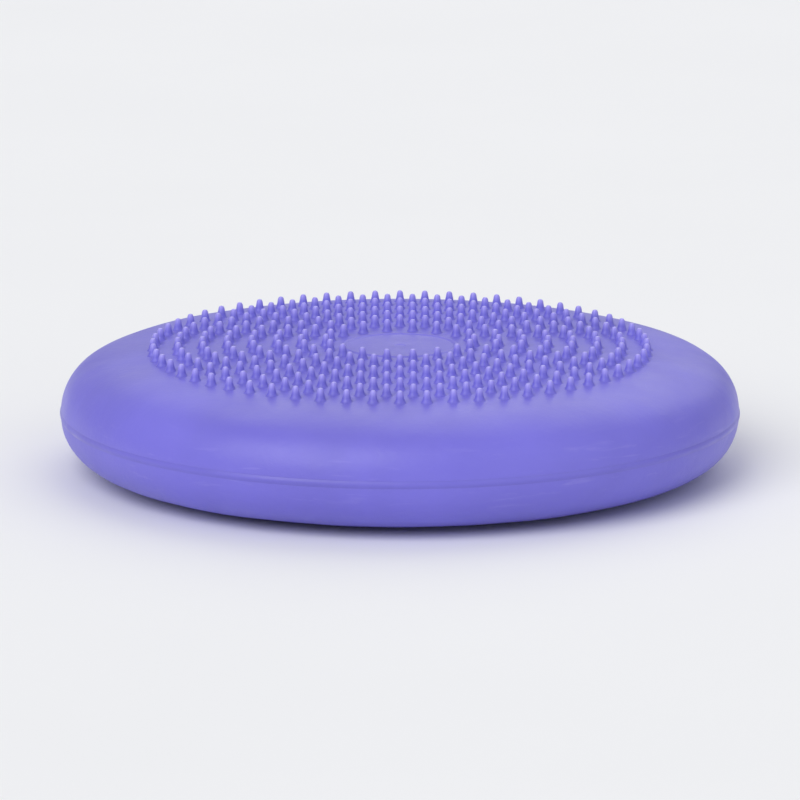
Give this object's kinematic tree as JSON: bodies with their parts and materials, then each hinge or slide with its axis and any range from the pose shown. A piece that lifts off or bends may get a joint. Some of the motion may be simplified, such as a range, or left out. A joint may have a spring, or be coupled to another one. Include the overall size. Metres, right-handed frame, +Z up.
{
  "type": "wobble cushion",
  "caption": "Round air-filled balance cushion with a spiked sitting face, a smooth round side wall and a plugged air valve; the top rocks on the base.",
  "frame": {"origin": "middle of the flat centre pad that the cushion stands on", "axes": "+Z up through the sitting face; +Y towards the air valve; +X to one side of the valve"},
  "size_m": [0.3312, 0.3312, 0.066],
  "materials": {
    "shell": "satin soft PVC",
    "bead": "satin soft PVC, a little glossier where it was welded",
    "socket": "smooth semi-rigid PVC",
    "plug": "smooth white PVC",
    "flap": "matt rubber"
  },
  "bodies": {
    "base": {"lower_shell": "shell", "valve_socket": "socket", "plug_tether": "plug"},
    "seam": {"weld_bead": "bead"},
    "top": {"upper_shell": "shell"},
    "plug": {"valve_plug": "plug"},
    "flap": {"check_flap": "flap"}
  },
  "joints": [
    {"name": "rock_front_back", "type": "hinge", "parent": "base", "child": "seam", "pos_m": [0, 0, 0.0287], "axis": [0, 1, 0], "range_deg": [-5, 5], "stiffness_Nm_per_rad": 90, "deforming": ["lower_shell", "upper_shell"]},
    {"name": "rock_side_to_side", "type": "hinge", "parent": "seam", "child": "top", "pos_m": [0, 0, 0.0287], "axis": [1, 0, 0], "range_deg": [-5, 5], "stiffness_Nm_per_rad": 90, "deforming": ["upper_shell", "lower_shell"]},
    {"name": "plug_pull", "type": "slide", "parent": "base", "child": "plug", "axis": [0, 0.9053, -0.4249], "range_m": [0, 0.016], "deforming": ["plug_tether"]},
    {"name": "flap_swing", "type": "hinge", "parent": "base", "child": "flap", "pos_m": [0, 0.14696, 0.03234], "axis": [-1, 0, 0], "range_deg": [0, 50], "stiffness_Nm_per_rad": 0.002}
  ]
}
